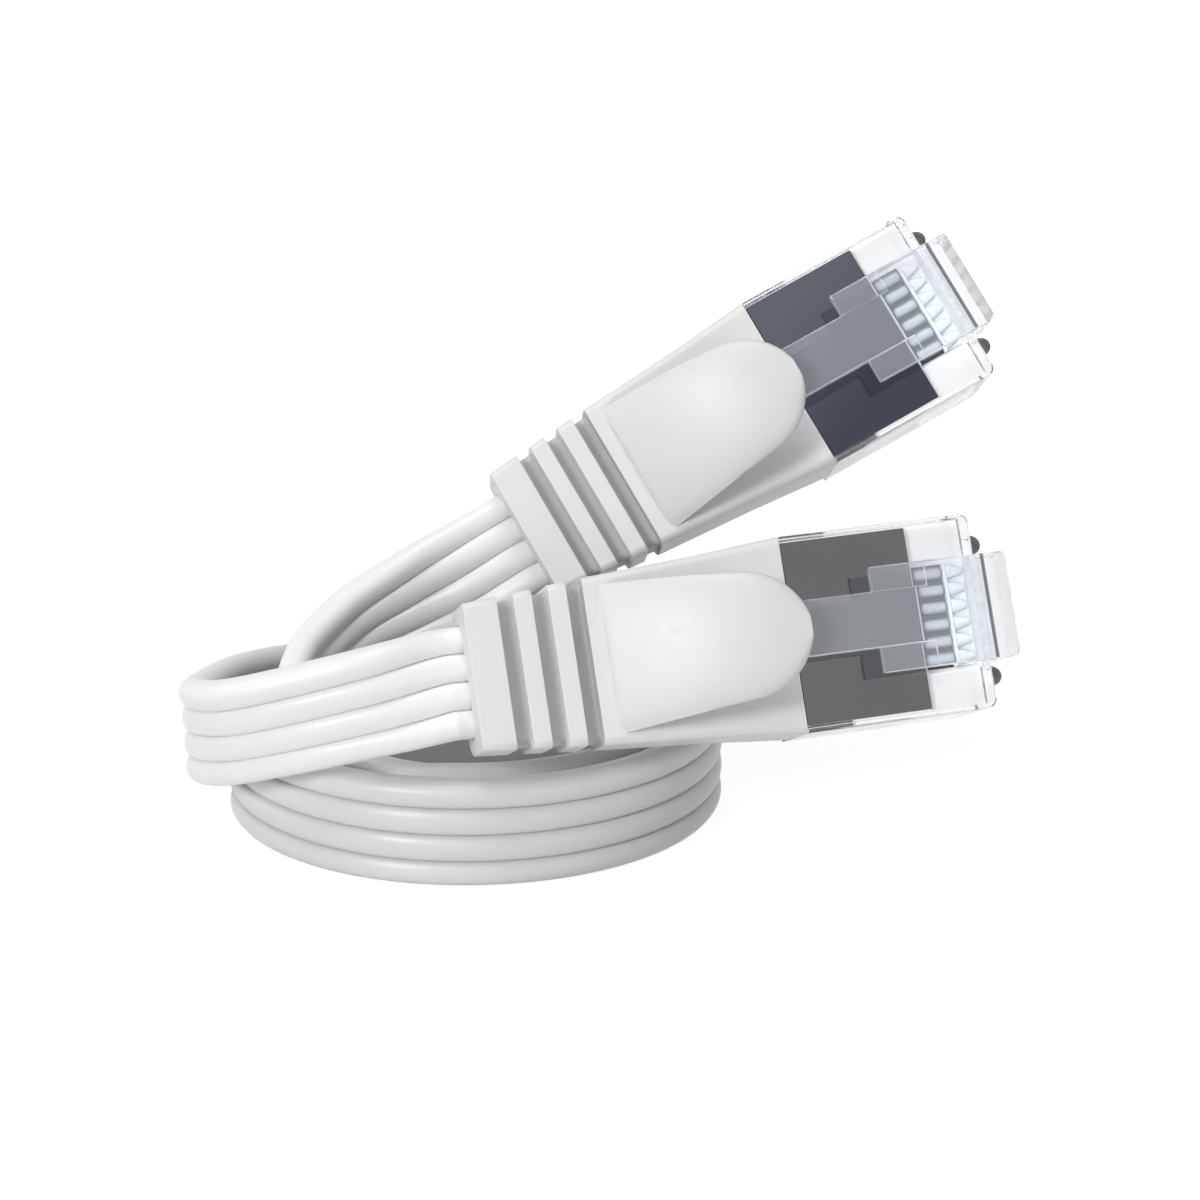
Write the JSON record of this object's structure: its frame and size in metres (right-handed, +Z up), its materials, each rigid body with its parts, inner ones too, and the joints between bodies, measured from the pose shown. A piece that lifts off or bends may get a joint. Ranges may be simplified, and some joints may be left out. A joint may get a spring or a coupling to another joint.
{
  "type": "ethernet patch cable",
  "caption": "Short flat ribbed patch cable coiled on its edge, with a shielded clear modular plug, sprung latch and white snagless boot at each end.",
  "frame": {"origin": "On the surface that the coil stands on, under the middle of the whole part's box.", "axes": "+Z up. +X to the right, the way the two plugs point. The picture looks along +Y, slightly down."},
  "size_m": [0.0506, 0.0336, 0.036],
  "materials": {
    "clear_plastic": "polished clear polycarbonate",
    "frosted_plastic": "milky translucent plastic",
    "shield_metal": "bright nickel plate on thin brass sheet",
    "gold_plate": "gold flash on phosphor bronze",
    "wire_sleeve": "satin wire insulation",
    "ferrule_metal": "bare crimped sheet",
    "boot_vinyl": "satin moulded vinyl",
    "cord_vinyl": "semi-gloss extruded vinyl"
  },
  "bodies": {
    "cable": {"housing_a": "clear_plastic", "shield_a": "shield_metal", "load_bar_a": "frosted_plastic", "contact_a_1": "gold_plate", "conductor_a_1": "wire_sleeve", "contact_a_2": "gold_plate", "conductor_a_2": "wire_sleeve", "contact_a_3": "gold_plate", "conductor_a_3": "wire_sleeve", "contact_a_4": "gold_plate", "conductor_a_4": "wire_sleeve", "contact_a_5": "gold_plate", "conductor_a_5": "wire_sleeve", "contact_a_6": "gold_plate", "conductor_a_6": "wire_sleeve", "contact_a_7": "gold_plate", "conductor_a_7": "wire_sleeve", "contact_a_8": "gold_plate", "conductor_a_8": "wire_sleeve", "ferrule_a": "ferrule_metal", "boot_a": "boot_vinyl", "housing_b": "clear_plastic", "shield_b": "shield_metal", "load_bar_b": "frosted_plastic", "contact_b_1": "gold_plate", "conductor_b_1": "wire_sleeve", "contact_b_2": "gold_plate", "conductor_b_2": "wire_sleeve", "contact_b_3": "gold_plate", "conductor_b_3": "wire_sleeve", "contact_b_4": "gold_plate", "conductor_b_4": "wire_sleeve", "contact_b_5": "gold_plate", "conductor_b_5": "wire_sleeve", "contact_b_6": "gold_plate", "conductor_b_6": "wire_sleeve", "contact_b_7": "gold_plate", "conductor_b_7": "wire_sleeve", "contact_b_8": "gold_plate", "conductor_b_8": "wire_sleeve", "ferrule_b": "ferrule_metal", "boot_b": "boot_vinyl", "cable_lead_a": "cord_vinyl", "cable_coil": "cord_vinyl", "cable_lead_b": "cord_vinyl"},
    "latch_arm_a": {"latch_a": "clear_plastic"},
    "boot_tongue_a": {"tongue_a": "boot_vinyl"},
    "latch_arm_b": {"latch_b": "clear_plastic"},
    "boot_tongue_b": {"tongue_b": "boot_vinyl"}
  },
  "joints": [
    {"name": "latch_press_a", "type": "hinge", "parent": "cable", "child": "latch_arm_a", "pos_m": [0.02418, -0.00888, 0.01551], "axis": [-0.1472, 0.3831, 0.9119], "range_deg": [-6.5, 0], "stiffness_Nm_per_rad": 0.05},
    {"name": "tongue_press_a", "type": "hinge", "parent": "cable", "child": "boot_tongue_a", "pos_m": [0.00182, -0.0141, 0.01409], "axis": [-0.1472, 0.3831, 0.9119], "range_deg": [0, 8.4], "stiffness_Nm_per_rad": 0.02},
    {"name": "latch_press_b", "type": "hinge", "parent": "cable", "child": "latch_arm_b", "pos_m": [0.02324, 0.00588, 0.03217], "axis": [-0.5032, 0.3414, 0.7939], "range_deg": [-6.5, 0], "stiffness_Nm_per_rad": 0.05},
    {"name": "tongue_press_b", "type": "hinge", "parent": "cable", "child": "boot_tongue_b", "pos_m": [0.00339, 0.00017, 0.02204], "axis": [-0.5032, 0.3414, 0.7939], "range_deg": [0, 8.4], "stiffness_Nm_per_rad": 0.02}
  ],
  "couplings": [
    {"joint": "tongue_press_a", "follows": "latch_press_a", "ratio": -1.28},
    {"joint": "tongue_press_b", "follows": "latch_press_b", "ratio": -1.28}
  ]
}
